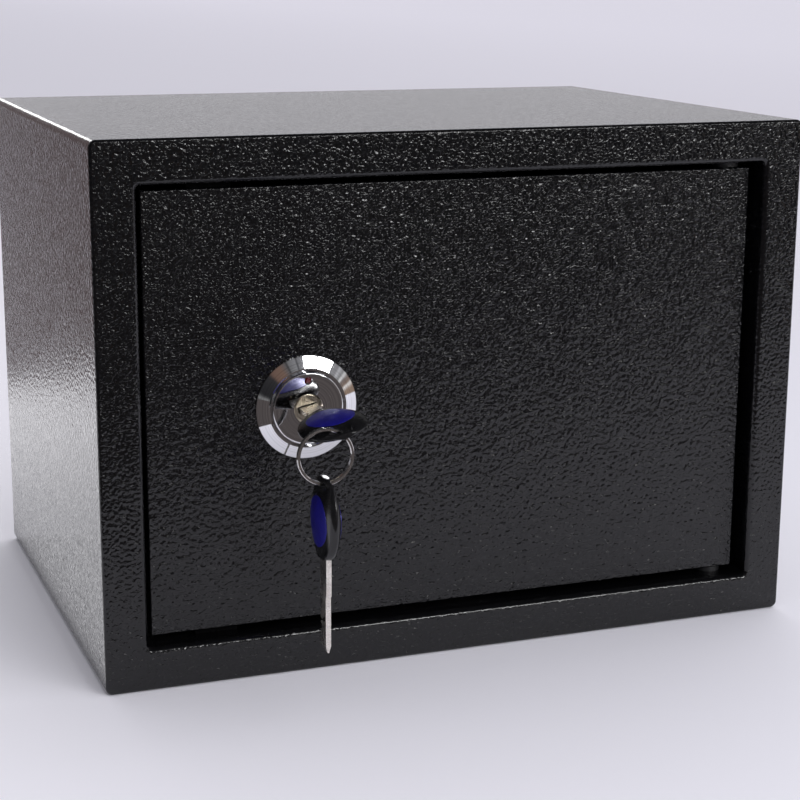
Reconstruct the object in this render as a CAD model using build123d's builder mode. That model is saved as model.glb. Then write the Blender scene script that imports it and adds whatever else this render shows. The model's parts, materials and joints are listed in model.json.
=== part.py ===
from build123d import *
from math import cos, radians, sin, sqrt
import os

# A small key-lock safe of folded sheet steel, in millimetres.
# X runs to the right of the door, Y from the door to the back, Z up.
# The origin is at the centre of the underside.

# Cabinet
body_width = 350.0
body_depth = 250.0
body_height = 250.0
wall = 2.0
body_edge_radius = 3.5
frame_border = 20.0
frame_edge_radius = 1.5
opening_corner_radius = 2.0
lip_depth = 22.0
lip_bend_radius = 2.6
back_flange_depth = 10.0
anchor_hole_radius = 5.5
anchor_spacing = 200.0
back_anchor_height = 150.0
mat_thickness = 3.0
mat_margin = 3.0
mat_corner_radius = 6.0
mat_hole_radius = 9.0

# Door and hinge
door_thickness = 4.0
door_recess = 8.0
door_gap = 3.1
hinge_side_gap = 4.0
door_edge_radius = 0.8
hinge_inset = 9.0
hinge_set_back = 4.0
hinge_pin_radius = 3.0
hinge_pin_overhang = 1.0
hinge_pin_chamfer = 0.6
hinge_lug_height = 24.0
hinge_lug_side = 6.5
hinge_lug_corner = 4.0
bush_sleeve_radius = 4.0
bush_collar_radius = 6.0
running_fit = 0.05
running_gap = 0.1
stop_width = 20.0
stop_reach = 8.0
stop_gap = 0.5
stop_inset = 31.9

# Lock
lock_inset = 74.9
escutcheon_radius = 24.0
escutcheon_rim = 1.0
escutcheon_height = 2.9
escutcheon_land = 0.6
head_radius = 16.9
head_step_radius = 18.0
head_step_height = 1.4
head_height = 4.0
head_edge_radius = 0.8
barrel_radius = 14.0
barrel_length = 34.0
plug_radius = 6.0
plug_recess_radius = 7.0
plug_recess_depth = 1.5
plug_step = 0.3
plug_tail_side = 7.0
plug_chamfer = 0.4
dot_radius = 1.15
dot_place = 13.0
dot_depth = 1.6
dot_recess = 0.35
dot_countersink_radius = 1.9
washer_radius = 20.0
washer_thickness = 1.5
nut_across_flats = 34.0
nut_thickness = 7.0

# Cam and bolt work
cam_pin_circle = 12.0
cam_pin_radius = 2.5
cam_pin_overhang = 1.0
cam_pin_chamfer = 0.4
cam_swing = 90.0
cam_thickness = 3.0
cam_hub_radius = 8.0
cam_tip_radius = 4.8
cam_screw_head_radius = 3.4
cam_screw_head_height = 2.0
cam_screw_radius = 2.0
cam_screw_depth = 2.5
cam_screw_head_round = 0.6
cam_slot_clearance = 0.6
carriage_thickness = 2.0
carriage_gap = 0.7
carriage_play = 0.2
carriage_web_margin = 10.0
carriage_flange_overhang = 12.0
carriage_bend_radius = 1.8
carriage_margin = 7.0
bolt_radius = 8.0
bolt_length = 38.0
bolt_end_margin = 46.9
bolt_setback = 2.0
bolt_lip_gap = 2.0
bolt_tip_chamfer = 1.2
bolt_fit = 0.08
bolt_screw_radius = 2.5
bolt_screw_head_radius = 4.5
bolt_screw_head_height = 2.6
bolt_screw_depth = 12.0
bolt_screw_head_round = 1.0
post_radius = 4.5
post_margin = 20.0
post_place = 14.0
post_screw_radius = 2.8
post_screw_head_radius = 5.0
post_screw_head_height = 2.2
post_screw_head_round = 0.8
guide_thickness = 2.0
guide_place = 4.0
guide_foot = 14.0
guide_overhang = 15.5
cover_sheet = 1.2
cover_play = 0.4
cover_width = 100.0
cover_back_gap = 1.6
cover_flange = 12.0
cover_corner_radius = 3.0
cover_screw_radius = 2.0
cover_screw_head_radius = 4.0
cover_screw_head_height = 2.2
cover_screw_head_round = 1.0
cover_screw_depth = 2.5
cover_screw_inset = 14.0

# Keys and ring
key_tilt = 12.0
key_stand_off = 12.5
blade_length = 44.0
blade_width = 8.2
blade_thickness = 2.4
blade_shank = 17.6
blade_step = 0.9
blade_tip_slope = 3.6
blade_tip_width = 2.4
blade_tip_bevel = 3.0
blade_tip_thickness = 0.6
groove_wall_near = 2.2
groove_wall_deep = 1.8
groove_rib_edge = 3.7
groove_depth = 0.65
bitting_start = 26.4
bitting_pitch = 3.7
bitting_depths = (0.6, 2.1, 1.4, 2.5)
bitting_floor = 0.8
bitting_flare = 0.25
keyway_side_play = 0.5
keyway_face_play = 0.4
keyway_reserve = 1.0
bow_length = 36.0
bow_width = 30.5
bow_thickness = 9.6
bow_blade_end_thickness = 5.5
bow_ring_end_thickness = 2.4
bow_blade_end_angle = 20.0
bow_ring_end_angle = 9.0
bow_stations = 9
bow_width_power = 0.8
bow_blade_end_swell = 1.0
bow_ring_end_swell = 4.5
bow_hole_length = 11.0
bow_hole_width = 5.5
bow_hole_inset = 4.5
inlay_width = 22.0
inlay_length = 22.6
inlay_centre = 16.4
inlay_floor = 2.5
inlay_proud = 0.2
ring_radius = 12.1
ring_wire_depth = 1.5
ring_turn_width = 0.96
ring_turn_chamfer = 0.25
ring_groove = 0.35
ring_heading = 3.0
ring_pass_angle = 38.0
ring_pass_offset = -0.6
ring_pass_reach = 0.3
ring_split_gap = 0.5
ring_split_angle = 200.0
ring_split_step = 25.0
ring_hole_play = 0.15

# Places worked out from the sizes above
front_y = -body_depth / 2
back_y = body_depth / 2
mid_z = body_height / 2
opening_width = body_width - 2 * frame_border
opening_height = body_height - 2 * frame_border
lip_end_y = front_y + lip_depth
door_front_y = front_y + door_recess
door_back_y = door_front_y + door_thickness
door_left = -opening_width / 2 + door_gap
door_right = opening_width / 2 - hinge_side_gap
door_height = opening_height - 2 * door_gap
lock_x = door_left + lock_inset
lock_z = mid_z
stop_place = door_left + stop_inset
bolt_spread = door_height - 2 * bolt_end_margin
carriage_web_height = bolt_spread - 2 * carriage_web_margin
carriage_flange_height = bolt_spread + 2 * carriage_flange_overhang
post_spread = bolt_spread - 2 * post_margin
guide_height = bolt_spread + 2 * guide_overhang
hinge_x = door_right - hinge_inset
hinge_y = door_back_y + hinge_set_back
plug_front_y = door_front_y - head_height + plug_recess_depth
barrel_end_y = door_front_y - head_height + barrel_length
shoulder_y = barrel_end_y + plug_step
cam_back_y = shoulder_y + cam_thickness
web_front_y = cam_back_y + cam_screw_head_height + carriage_gap
web_back_y = web_front_y + carriage_thickness
post_head_y = web_back_y + carriage_play
cover_inner_y = post_head_y + post_screw_head_height + cover_back_gap
throw = 2 * cam_pin_circle * sin(radians(cam_swing / 2))
cam_slot_x = lock_x + throw / 2
bolt_y = lip_end_y + bolt_lip_gap + bolt_radius
bolt_tip_x = door_left + bolt_setback
flange_x = bolt_tip_x + bolt_length
guide_x = bolt_tip_x + guide_place
post_x = flange_x + post_place
key_shoulder_y = front_y - key_stand_off
blade_tip_y = key_shoulder_y + blade_length
lock_axis = Axis((lock_x, 0, lock_z), (0, 1, 0))

os.makedirs("parts", exist_ok=True)


def save(piece, label):
    """Give a finished piece its name and write its STEP file."""
    piece.label = label
    export_step(piece, f"parts/{label}.step")


def facing(y):
    """A plane that faces the front at depth y, with X to the right and Z up."""
    return Plane.XZ.offset(-y)


def lock_profile():
    """The half plane through the lock axis, with Y along its first axis and the radius along its second."""
    return Plane(origin=(lock_x, 0, lock_z), x_dir=(0, 1, 0), z_dir=(1, 0, 0))


# Cabinet: one wrap of sheet, a flanged back and a front frame with a return lip

with BuildPart() as body_wrap:
    with BuildSketch(facing(back_y)):
        with Locations((0, mid_z)):
            RectangleRounded(body_width, body_height, body_edge_radius)
            RectangleRounded(
                body_width - 2 * wall,
                body_height - 2 * wall,
                body_edge_radius - wall,
                mode=Mode.SUBTRACT,
            )
    extrude(amount=body_depth - wall)
    with BuildSketch():
        with GridLocations(anchor_spacing, 1, 2, 1):
            Circle(anchor_hole_radius)
    extrude(amount=wall, mode=Mode.SUBTRACT)
save(body_wrap.part, "body_wrap")

with BuildPart() as back_panel:
    with BuildSketch(facing(back_y)):
        with Locations((0, mid_z)):
            RectangleRounded(
                body_width - 2 * wall, body_height - 2 * wall, body_edge_radius - wall
            )
    extrude(amount=wall + back_flange_depth)
    with BuildSketch(facing(back_y - wall)):
        with Locations((0, mid_z)):
            Rectangle(body_width - 4 * wall, body_height - 4 * wall)
    extrude(amount=back_flange_depth, mode=Mode.SUBTRACT)
    with BuildSketch(facing(back_y)):
        with Locations((0, back_anchor_height)):
            with GridLocations(anchor_spacing, 1, 2, 1):
                Circle(anchor_hole_radius)
    extrude(amount=wall, mode=Mode.SUBTRACT)
save(back_panel.part, "back_panel")

with BuildPart() as front_frame:
    with BuildSketch(facing(front_y + wall)):
        with Locations((0, mid_z)):
            RectangleRounded(body_width, body_height, body_edge_radius)
    extrude(amount=wall)
    with BuildSketch(facing(lip_end_y)):
        with Locations((0, mid_z)):
            RectangleRounded(
                opening_width + 2 * wall,
                opening_height + 2 * wall,
                opening_corner_radius + wall,
            )
    extrude(amount=lip_depth - wall)
    with BuildSketch(facing(lip_end_y)):
        with Locations((0, mid_z)):
            RectangleRounded(opening_width, opening_height, opening_corner_radius)
    extrude(amount=lip_depth, mode=Mode.SUBTRACT)
    frame_face = front_frame.faces().sort_by(Axis.Y)[0]
    fillet(frame_face.outer_wire().edges(), radius=frame_edge_radius)
    frame_face = front_frame.faces().sort_by(Axis.Y)[0]
    fillet(frame_face.inner_wires()[0].edges(), radius=lip_bend_radius)
    with Locations((hinge_x, hinge_y, mid_z)):
        Hole(bush_sleeve_radius)
save(front_frame.part, "front_frame")

with BuildPart() as floor_mat:
    mat_front_y = lip_end_y + mat_margin
    mat_back_y = back_y - wall - back_flange_depth - mat_margin
    with BuildSketch(Plane.XY.offset(wall)):
        with Locations((0, (mat_front_y + mat_back_y) / 2)):
            RectangleRounded(
                body_width - 2 * wall - 2 * mat_margin,
                mat_back_y - mat_front_y,
                mat_corner_radius,
            )
        with GridLocations(anchor_spacing, 1, 2, 1):
            Circle(mat_hole_radius, mode=Mode.SUBTRACT)
    extrude(amount=mat_thickness)
save(floor_mat.part, "floor_mat")

for end, up in (("lower", 1), ("upper", -1)):
    seat_z = mid_z - up * opening_height / 2
    lug_z = seat_z + up * door_gap

    with BuildPart() as hinge_bush:
        with BuildSketch(Plane((hinge_x, hinge_y, seat_z))):
            Circle(bush_sleeve_radius)
        extrude(amount=-up * wall)
        with BuildSketch(Plane((hinge_x, hinge_y, seat_z))):
            Circle(bush_collar_radius)
        extrude(amount=up * (door_gap - running_gap))
        with Locations((hinge_x, hinge_y, seat_z)):
            Hole(hinge_pin_radius + running_fit)
    save(hinge_bush.part, f"hinge_bush_{end}")

    with BuildPart() as hinge_pin:
        with BuildSketch(Plane((hinge_x, hinge_y, seat_z - up * (wall + hinge_pin_overhang)))):
            Circle(hinge_pin_radius)
        extrude(amount=up * (hinge_pin_overhang + wall + door_gap + hinge_lug_height))
        chamfer(hinge_pin.edges().group_by(Axis.Z)[0 if up > 0 else -1], length=hinge_pin_chamfer)
    save(hinge_pin.part, f"hinge_pin_{end}")

    with BuildPart() as hinge_lug:
        lug_rear_y = hinge_y + hinge_lug_side
        with BuildSketch(Plane.XY.offset(lug_z)):
            with Locations((hinge_x, (door_back_y + lug_rear_y) / 2)):
                Rectangle(2 * hinge_lug_side, lug_rear_y - door_back_y)
        extrude(amount=up * hinge_lug_height)
        rear_edges = hinge_lug.edges().filter_by(Axis.Z).group_by(Axis.Y)[-1]
        fillet(rear_edges, radius=hinge_lug_corner)
        with Locations((hinge_x, hinge_y, lug_z)):
            Hole(hinge_pin_radius)
    save(hinge_lug.part, f"hinge_lug_{end}")

    with BuildPart() as door_stop:
        stop_y = door_back_y + stop_gap
        with BuildSketch(Plane.YZ.offset(stop_place)):
            with Locations(((stop_y + lip_end_y) / 2, seat_z + up * wall / 2)):
                Rectangle(lip_end_y - stop_y, wall)
            with Locations((stop_y + wall / 2, seat_z + up * stop_reach / 2)):
                Rectangle(wall, stop_reach)
        extrude(amount=stop_width / 2, both=True)
    save(door_stop.part, f"door_stop_{end}")


# Door: a flat plate, set back in the frame

cover_left = guide_x + guide_thickness
cover_right = cover_left + cover_width
cover_side = guide_height / 2 + cover_play + cover_sheet
cover_screw_points = [
    (x, lock_z + side * (cover_side + cover_flange / 2))
    for x in (cover_left + cover_screw_inset, cover_right - cover_screw_inset)
    for side in (-1, 1)
]

with BuildPart() as door_panel:
    with BuildSketch(facing(door_back_y)):
        with Locations(((door_left + door_right) / 2, mid_z)):
            Rectangle(door_right - door_left, door_height)
        with Locations((lock_x, lock_z)):
            Circle(barrel_radius, mode=Mode.SUBTRACT)
    extrude(amount=door_thickness)
    door_face = door_panel.faces().sort_by(Axis.Y)[0]
    fillet(door_face.outer_wire().edges(), radius=door_edge_radius)
    with BuildSketch(facing(door_back_y)):
        with Locations(*cover_screw_points):
            Circle(cover_screw_radius)
    extrude(amount=cover_screw_depth, mode=Mode.SUBTRACT)
save(door_panel.part, "door_panel")


# Lock: bevel ring, barrel with its polished head, nut and washer

with BuildPart() as lock_escutcheon:
    with BuildSketch(lock_profile()):
        with BuildLine():
            Polyline(
                (door_front_y, head_step_radius),
                (door_front_y, escutcheon_radius),
                (door_front_y - escutcheon_rim, escutcheon_radius),
                (door_front_y - escutcheon_height, head_step_radius + escutcheon_land),
                (door_front_y - escutcheon_height, head_step_radius),
                close=True,
            )
        make_face()
    revolve(axis=lock_axis)
save(lock_escutcheon.part, "lock_escutcheon")

with BuildPart() as lock_barrel:
    head_front_y = door_front_y - head_height
    with BuildSketch(lock_profile()):
        with BuildLine():
            Polyline(
                (barrel_end_y, plug_radius + running_fit),
                (barrel_end_y, barrel_radius),
                (door_front_y, barrel_radius),
                (door_front_y, head_step_radius),
                (door_front_y - head_step_height, head_step_radius),
                (door_front_y - head_step_height, head_radius),
                (head_front_y, head_radius),
                (head_front_y, plug_recess_radius),
                (plug_front_y, plug_radius + running_fit),
                close=True,
            )
        make_face()
    revolve(axis=lock_axis)
    head_rim = lock_barrel.edges().group_by(Axis.Y)[0].sort_by(SortBy.RADIUS)[-1]
    fillet(head_rim, radius=head_edge_radius)
    with Locations(facing(head_front_y).location * Location((lock_x, lock_z + dot_place, 0))):
        CounterSinkHole(
            radius=dot_radius,
            counter_sink_radius=dot_countersink_radius,
            depth=dot_depth,
        )
save(lock_barrel.part, "lock_barrel")

with BuildPart() as red_index_dot:
    with BuildSketch(facing(head_front_y + dot_depth)):
        with Locations((lock_x, lock_z + dot_place)):
            Circle(dot_radius)
    extrude(amount=dot_depth - dot_recess)
    fillet(red_index_dot.edges().group_by(Axis.Y)[0], radius=dot_recess)
save(red_index_dot.part, "red_index_dot")

with BuildPart() as lock_washer:
    with BuildSketch(facing(door_back_y)):
        with Locations((lock_x, lock_z)):
            Circle(washer_radius)
            Circle(barrel_radius, mode=Mode.SUBTRACT)
    extrude(amount=-washer_thickness)
save(lock_washer.part, "lock_washer")

with BuildPart() as lock_nut:
    with BuildSketch(facing(door_back_y + washer_thickness)):
        with Locations((lock_x, lock_z)):
            RegularPolygon(nut_across_flats / 2, 6, major_radius=False)
            Circle(barrel_radius, mode=Mode.SUBTRACT)
    extrude(amount=-nut_thickness)
    with BuildSketch(lock_profile(), mode=Mode.PRIVATE) as nut_bevel:
        with BuildLine():
            nut_back_y = door_back_y + washer_thickness + nut_thickness
            nut_corner = nut_across_flats / 2 / cos(radians(30))
            Polyline(
                (nut_back_y, nut_across_flats / 2),
                (nut_back_y, nut_corner),
                (nut_back_y - (nut_corner - nut_across_flats / 2) / 2, nut_corner),
                close=True,
            )
        make_face()
    revolve(nut_bevel.sketch, axis=lock_axis, mode=Mode.SUBTRACT)
save(lock_nut.part, "lock_nut")


# Plug, cam and cam screw: they turn together with the key

with BuildPart() as key_plug:
    keyway_place = facing(plug_front_y).location * Location((lock_x, lock_z, 0), key_tilt)
    with BuildSketch(facing(plug_front_y)):
        with Locations((lock_x, lock_z)):
            Circle(plug_radius)
    extrude(amount=plug_front_y - shoulder_y)
    chamfer(key_plug.edges().group_by(Axis.Y)[0], length=plug_chamfer)
    with BuildSketch(facing(shoulder_y)):
        with Locations(Location((lock_x, lock_z, 0), cam_swing / 2)):
            Rectangle(plug_tail_side, plug_tail_side)
    extrude(amount=-cam_thickness)
    with BuildSketch(Plane(keyway_place)):
        Rectangle(blade_width + 2 * keyway_side_play, blade_thickness + 2 * keyway_face_play)
    extrude(amount=plug_front_y - blade_tip_y - keyway_reserve, mode=Mode.SUBTRACT)
    with BuildSketch(facing(cam_back_y)):
        with Locations((lock_x, lock_z)):
            Circle(cam_screw_radius)
    extrude(amount=cam_screw_depth, mode=Mode.SUBTRACT)
save(key_plug.part, "key_plug")

pin_x = cam_pin_circle * sin(radians(cam_swing / 2))
pin_z = cam_pin_circle * cos(radians(cam_swing / 2))

with BuildPart() as lock_cam:
    with BuildSketch(facing(shoulder_y)) as cam_outline:
        with Locations((lock_x, lock_z)):
            Circle(cam_hub_radius)
        with Locations((lock_x + pin_x, lock_z + pin_z)):
            Circle(cam_tip_radius)
        make_hull()
        with Locations((lock_x + pin_x, lock_z + pin_z)):
            Circle(cam_pin_radius, mode=Mode.SUBTRACT)
        with Locations(Location((lock_x, lock_z, 0), cam_swing / 2)):
            Rectangle(plug_tail_side, plug_tail_side, mode=Mode.SUBTRACT)
    extrude(amount=-cam_thickness)
save(lock_cam.part, "lock_cam")

with BuildPart() as cam_pin:
    with BuildSketch(facing(shoulder_y)):
        with Locations((lock_x + pin_x, lock_z + pin_z)):
            Circle(cam_pin_radius)
    extrude(amount=shoulder_y - web_back_y - cam_pin_overhang)
    chamfer(cam_pin.edges().group_by(Axis.Y)[-1], length=cam_pin_chamfer)
save(cam_pin.part, "cam_pin")

with BuildPart() as cam_screw:
    with BuildSketch(facing(cam_back_y)):
        with Locations((lock_x, lock_z)):
            Circle(cam_screw_radius)
    extrude(amount=cam_screw_depth)
    with BuildSketch(facing(cam_back_y)):
        with Locations((lock_x, lock_z)):
            Circle(cam_screw_head_radius)
    extrude(amount=-cam_screw_head_height)
    fillet(cam_screw.edges().group_by(Axis.Y)[-1], radius=cam_screw_head_round)
save(cam_screw.part, "cam_screw")


# Bolt work: the carriage that the cam pin drives, and its two round bolts

slot_half_width = cam_pin_radius + cam_slot_clearance
slot_low = pin_z - slot_half_width
slot_high = cam_pin_circle + slot_half_width
web_right = cam_slot_x + slot_half_width + carriage_margin
guide_slot_half = post_screw_radius + cam_slot_clearance / 2
bolt_heights = (lock_z - bolt_spread / 2, lock_z + bolt_spread / 2)

with BuildPart() as bolt_carriage:
    with BuildSketch(facing(web_front_y)):
        with Locations(((flange_x + web_right) / 2, lock_z)):
            Rectangle(web_right - flange_x, carriage_web_height)
    extrude(amount=-carriage_thickness)
    right_edges = bolt_carriage.edges().filter_by(Axis.Y).group_by(Axis.X)[-1]
    fillet(right_edges, radius=carriage_margin)
    flange_front_y = bolt_y - bolt_radius
    with BuildSketch(Plane.YZ.offset(flange_x)):
        with Locations(((flange_front_y + web_back_y) / 2, lock_z)):
            Rectangle(web_back_y - flange_front_y, carriage_flange_height)
    extrude(amount=carriage_thickness)
    with BuildSketch(facing(web_front_y)):
        with Locations((cam_slot_x, lock_z + (slot_low + slot_high) / 2)):
            SlotOverall(slot_high - slot_low, 2 * slot_half_width, rotation=90)
        for side in (-1, 1):
            with Locations((post_x + throw / 2, lock_z + side * post_spread / 2)):
                SlotOverall(throw + 2 * guide_slot_half, 2 * guide_slot_half)
    extrude(amount=-carriage_thickness, mode=Mode.SUBTRACT)
    with BuildSketch(Plane.YZ.offset(flange_x)):
        for height in bolt_heights:
            with Locations((bolt_y, height)):
                Circle(bolt_screw_radius)
    extrude(amount=carriage_thickness, mode=Mode.SUBTRACT)
    outer_bend = (
        bolt_carriage.edges().filter_by(Axis.Z).group_by(Axis.X)[0].group_by(Axis.Y)[-1]
    )
    fillet(outer_bend, radius=carriage_bend_radius)
save(bolt_carriage.part, "bolt_carriage")

for name, height in zip(("bolt_lower", "bolt_upper"), bolt_heights):
    with BuildPart() as bolt:
        with BuildSketch(Plane.YZ.offset(bolt_tip_x)):
            with Locations((bolt_y, height)):
                Circle(bolt_radius)
        extrude(amount=bolt_length)
        chamfer(bolt.edges().group_by(Axis.X)[0], length=bolt_tip_chamfer)
        with BuildSketch(Plane.YZ.offset(flange_x)):
            with Locations((bolt_y, height)):
                Circle(bolt_screw_radius)
        extrude(amount=-bolt_screw_depth, mode=Mode.SUBTRACT)
    save(bolt.part, name)

with BuildPart() as bolt_screws:
    with BuildSketch(Plane.YZ.offset(flange_x - bolt_screw_depth)):
        for height in bolt_heights:
            with Locations((bolt_y, height)):
                Circle(bolt_screw_radius)
    extrude(amount=bolt_screw_depth + carriage_thickness)
    with BuildSketch(Plane.YZ.offset(flange_x + carriage_thickness)):
        for height in bolt_heights:
            with Locations((bolt_y, height)):
                Circle(bolt_screw_head_radius)
    extrude(amount=bolt_screw_head_height)
    fillet(bolt_screws.edges().group_by(Axis.X)[-1], radius=bolt_screw_head_round)
save(bolt_screws.part, "bolt_screws")

with BuildPart() as bolt_guide:
    with BuildSketch(facing(door_back_y)):
        with Locations((guide_x + guide_foot / 2, lock_z)):
            Rectangle(guide_foot, guide_height)
    extrude(amount=-guide_thickness)
    guide_rear_y = cover_inner_y - cover_play
    with BuildSketch(Plane.YZ.offset(guide_x)):
        with Locations(((door_back_y + guide_rear_y) / 2, lock_z)):
            Rectangle(guide_rear_y - door_back_y, guide_height)
        for height in bolt_heights:
            with Locations((bolt_y, height)):
                Circle(bolt_radius + bolt_fit, mode=Mode.SUBTRACT)
    extrude(amount=guide_thickness)
save(bolt_guide.part, "bolt_guide")

post_points = [(post_x, lock_z + side * post_spread / 2) for side in (-1, 1)]

with BuildPart() as carriage_posts:
    with BuildSketch(facing(door_back_y)):
        with Locations(*post_points):
            Circle(post_radius)
    extrude(amount=door_back_y - web_front_y + carriage_play)
save(carriage_posts.part, "carriage_posts")

with BuildPart() as carriage_screws:
    with BuildSketch(facing(web_front_y - carriage_play)):
        with Locations(*post_points):
            Circle(post_screw_radius)
    extrude(amount=-(carriage_thickness + 2 * carriage_play))
    with BuildSketch(facing(post_head_y)):
        with Locations(*post_points):
            Circle(post_screw_head_radius)
    extrude(amount=-post_screw_head_height)
    fillet(carriage_screws.edges().group_by(Axis.Y)[-1], radius=post_screw_head_round)
save(carriage_screws.part, "carriage_screws")

with BuildPart() as lock_cover:
    cover_mid = (cover_left + cover_right) / 2
    cover_depth = cover_inner_y + cover_sheet - door_back_y
    with BuildSketch(facing(door_back_y)):
        with Locations((cover_mid, lock_z)):
            Rectangle(cover_width, 2 * cover_side)
    extrude(amount=-cover_depth)
    rear_face = lock_cover.faces().sort_by(Axis.Y)[-1]
    free_edges = rear_face.edges() - rear_face.edges().group_by(Axis.X)[0]
    fillet(free_edges, radius=cover_corner_radius)
    with BuildSketch(facing(door_back_y)):
        with Locations((cover_mid - cover_sheet / 2, lock_z)):
            Rectangle(cover_width - cover_sheet, 2 * (cover_side - cover_sheet))
    extrude(amount=door_back_y - cover_inner_y, mode=Mode.SUBTRACT)
    with BuildSketch(facing(door_back_y)):
        for side in (-1, 1):
            with Locations((cover_mid, lock_z + side * (cover_side + cover_flange / 2))):
                Rectangle(cover_width, cover_flange)
        with Locations(*cover_screw_points):
            Circle(cover_screw_radius, mode=Mode.SUBTRACT)
    extrude(amount=-cover_sheet)
save(lock_cover.part, "lock_cover")

with BuildPart() as cover_screws:
    with BuildSketch(facing(door_back_y - cover_screw_depth)):
        with Locations(*cover_screw_points):
            Circle(cover_screw_radius)
    extrude(amount=-(cover_screw_depth + cover_sheet))
    with BuildSketch(facing(door_back_y + cover_sheet)):
        with Locations(*cover_screw_points):
            Circle(cover_screw_head_radius)
    extrude(amount=-cover_screw_head_height)
    fillet(cover_screws.edges().group_by(Axis.Y)[-1], radius=cover_screw_head_round)
save(cover_screws.part, "cover_screws")


# Keys: a steel blade in a moulded bow with a coloured inlay on each face


def bow_body(key_plane, proud):
    """The moulded bow, thicker on each face by proud: lens-shaped across and thin at both ends."""
    first_angle = bow_blade_end_angle
    last_angle = 180 - bow_ring_end_angle
    first_cosine = cos(radians(first_angle))
    cosine_span = first_cosine - cos(radians(last_angle))
    with BuildPart() as bow:
        for station in range(bow_stations):
            share = station / (bow_stations - 1)
            angle = radians(first_angle + share * (last_angle - first_angle))
            along = bow_length * (first_cosine - cos(angle)) / cosine_span
            width = bow_width * sin(angle) ** bow_width_power
            end_thickness = bow_blade_end_thickness * (1 - share) + bow_ring_end_thickness * share
            swell_power = bow_blade_end_swell * (1 - share) + bow_ring_end_swell * share
            swell = (bow_thickness - end_thickness) * sin(angle) ** swell_power
            thickness = end_thickness + swell + 2 * proud
            with BuildSketch(key_plane.offset(along)):
                Ellipse(width / 2, thickness / 2)
        loft()
    return bow.part


def face_plane(key_plane, side):
    """A plane in the key's middle plane that faces out of one flat of the key."""
    return Plane(
        origin=key_plane.origin,
        x_dir=key_plane.x_dir,
        z_dir=key_plane.y_dir * side,
    )


def make_key(key_plane, key_name):
    """Write one key. The plane is at the bow's blade end, its Z runs to the ring end and its X across."""
    with BuildPart() as bow:
        add(bow_body(key_plane, 0))
        for side in (-1, 1):
            with BuildSketch(face_plane(key_plane, side).offset(inlay_floor)):
                with Locations((0, -side * inlay_centre)):
                    Ellipse(inlay_width / 2, inlay_length / 2)
            extrude(amount=bow_thickness, mode=Mode.SUBTRACT)
        with BuildSketch(face_plane(key_plane, 1)):
            with Locations((0, bow_hole_inset - bow_length)):
                SlotOverall(bow_hole_length, bow_hole_width)
        extrude(amount=bow_thickness, both=True, mode=Mode.SUBTRACT)
    save(bow.part, f"{key_name}_bow")

    for side, face in ((1, "front"), (-1, "back")):
        with BuildPart() as inlay:
            add(bow_body(key_plane, inlay_proud))
            with BuildSketch(face_plane(key_plane, side).offset(inlay_floor)):
                with Locations((0, -side * inlay_centre)):
                    Ellipse(inlay_width / 2, inlay_length / 2)
            extrude(amount=bow_thickness, mode=Mode.INTERSECT)
        save(inlay.part, f"{key_name}_inlay_{face}")

    with BuildPart() as blade:
        rib_x = blade_width / 2
        front_x = blade_step - blade_width / 2
        with BuildSketch(face_plane(key_plane, 1)):
            with BuildLine():
                Polyline(
                    (-blade_width / 2, 0),
                    (rib_x, 0),
                    (rib_x, blade_length - blade_tip_slope),
                    (front_x + blade_tip_width, blade_length),
                    (front_x, blade_length),
                    (front_x, blade_shank),
                    (-blade_width / 2, blade_shank),
                    close=True,
                )
            make_face()
            for cut, depth in enumerate(bitting_depths):
                with BuildLine():
                    cut_place = bitting_start + bitting_pitch * cut
                    cut_reach = bitting_floor / 2 + bitting_flare * depth
                    Polyline(
                        (rib_x, cut_place - cut_reach),
                        (rib_x - depth, cut_place - bitting_floor / 2),
                        (rib_x - depth, cut_place + bitting_floor / 2),
                        (rib_x, cut_place + cut_reach),
                        close=True,
                    )
                make_face(mode=Mode.SUBTRACT)
        extrude(amount=blade_thickness / 2, both=True)
        with BuildSketch(key_plane.offset(-blade_shank)):
            for side in (-1, 1):
                with BuildLine():
                    Polyline(
                        (-groove_wall_near, side * blade_thickness / 2),
                        (-groove_wall_deep, side * (blade_thickness / 2 - groove_depth)),
                        (groove_rib_edge, side * blade_thickness / 2),
                        close=True,
                    )
                make_face()
        extrude(amount=blade_shank - blade_length, mode=Mode.SUBTRACT)
        with BuildSketch(Plane(origin=key_plane.origin, x_dir=key_plane.y_dir, z_dir=key_plane.x_dir)):
            with BuildLine():
                Polyline(
                    (-blade_thickness / 2, 0),
                    (blade_thickness / 2, 0),
                    (blade_thickness / 2, -(blade_length - blade_tip_bevel)),
                    (blade_tip_thickness / 2, -blade_length),
                    (-blade_tip_thickness / 2, -blade_length),
                    (-blade_thickness / 2, -(blade_length - blade_tip_bevel)),
                    close=True,
                )
            make_face()
        extrude(amount=blade_width / 2, both=True, mode=Mode.INTERSECT)
    save(blade.part, f"{key_name}_blade")


# The first key stands in the lock, its flats tilted with the keyway

tilt = radians(key_tilt)
key_1_plane = Plane(
    origin=(lock_x, key_shoulder_y, lock_z),
    x_dir=(cos(tilt), 0, sin(tilt)),
    z_dir=(0, -1, 0),
)
make_key(key_1_plane, "key_1")

# The ring passes through the first bow's slot, off to the right of the ring's top

heading = radians(ring_heading)
ring_across = Vector(cos(heading), -sin(heading), 0)
pass_point = (
    key_1_plane.origin
    + key_1_plane.z_dir * (bow_length - bow_hole_inset + ring_pass_reach)
    + key_1_plane.x_dir * ring_pass_offset
)
pass_angle = radians(ring_pass_angle)
ring_centre = (
    pass_point
    - ring_across * (ring_radius * sin(pass_angle))
    - Vector(0, 0, ring_radius * cos(pass_angle))
)
ring_plane = Plane(origin=ring_centre, x_dir=ring_across, z_dir=(-sin(heading), -cos(heading), 0))

ring_width = 2 * ring_turn_width

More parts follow.
